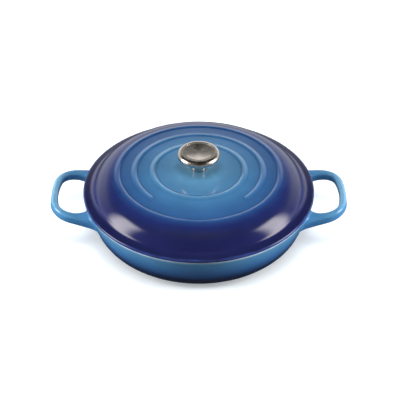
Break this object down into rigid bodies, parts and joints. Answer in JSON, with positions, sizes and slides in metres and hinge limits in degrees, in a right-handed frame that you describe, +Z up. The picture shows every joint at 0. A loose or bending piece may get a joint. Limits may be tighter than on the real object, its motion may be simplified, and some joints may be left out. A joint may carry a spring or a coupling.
{
  "type": "braiser",
  "caption": "Shallow round enamelled cast-iron braiser with wide loop handles, a domed lid with raised rings and a steel mushroom knob, for browning and slow cooking.",
  "frame": {"origin": "on the table under the middle of the pan, at the centre of its foot ring's face", "axes": "+X through the two loop handles, +Z up through the lid's knob, -Y towards the front, where the lid's middle ring is open"},
  "size_m": [0.3992, 0.31, 0.1199],
  "materials": {
    "pan_enamel": "glossy azure vitreous enamel outside, pale enamel inside",
    "lid_enamel": "glossy vitreous enamel, azure on top and indigo on the shoulder, pale enamel below",
    "knob_steel": "polished stainless steel",
    "cap_steel": "stainless steel, brushed in circles",
    "bush_brass": "turned brass",
    "fastener_steel": "plain stainless steel"
  },
  "bodies": {
    "pan": {"pan": "pan_enamel"},
    "lid": {"lid": "lid_enamel", "knob_body": "knob_steel", "knob_cap": "cap_steel", "knob_bush": "bush_brass", "knob_washer": "fastener_steel", "knob_screw": "fastener_steel"}
  },
  "joints": [
    {"name": "lid_lift", "type": "slide", "parent": "pan", "child": "lid", "axis": [0, 0, 1], "range_m": [0, 0.15]}
  ]
}
